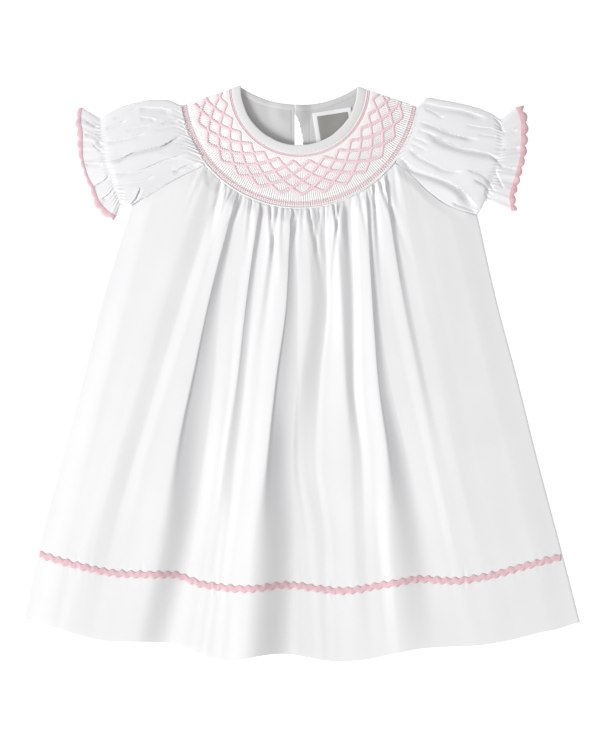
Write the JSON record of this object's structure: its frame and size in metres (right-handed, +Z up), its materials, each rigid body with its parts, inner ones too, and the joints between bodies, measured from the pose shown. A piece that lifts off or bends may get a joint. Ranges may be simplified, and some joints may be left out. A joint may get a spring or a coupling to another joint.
{
  "type": "toddler dress",
  "caption": "Toddler's short-sleeved dress laid flat: smocked round yoke, gathered A-line skirt, puffed sleeves with ruffles, wavy braid trim and a back keyhole.",
  "frame": {"origin": "centre of the dress's outline at the surface that it lies on", "axes": "+Y from the hem towards the neck, +Z up out of the dress's front, +X across it to the sleeve on the viewer's right"},
  "size_m": [0.474, 0.4908, 0.0167],
  "materials": {
    "cotton": "smooth white cotton with a slight sheen",
    "smocked_cotton": "white cotton in fine pleats, embroidered in pink",
    "binding_cotton": "matt white bias cotton",
    "pink_braid": "soft pink woven braid",
    "label_tape": "white woven tape",
    "label_satin": "bare grey satin",
    "button_resin": "white pearly resin",
    "thread": "white twisted thread"
  },
  "bodies": {
    "root": {"front_panel": "cotton", "back_panel": "cotton", "left_sleeve": "cotton", "right_sleeve": "cotton", "back_yoke": "cotton", "front_yoke": "smocked_cotton", "front_neck_binding": "binding_cotton", "back_neck_binding_left": "binding_cotton", "back_neck_binding_right": "binding_cotton", "hem_ricrac": "pink_braid", "left_cuff_ricrac": "pink_braid", "right_cuff_ricrac": "pink_braid", "neck_label": "label_tape", "label_panel": "label_satin", "back_button": "button_resin", "back_button_loop": "thread"}
  },
  "joints": []
}
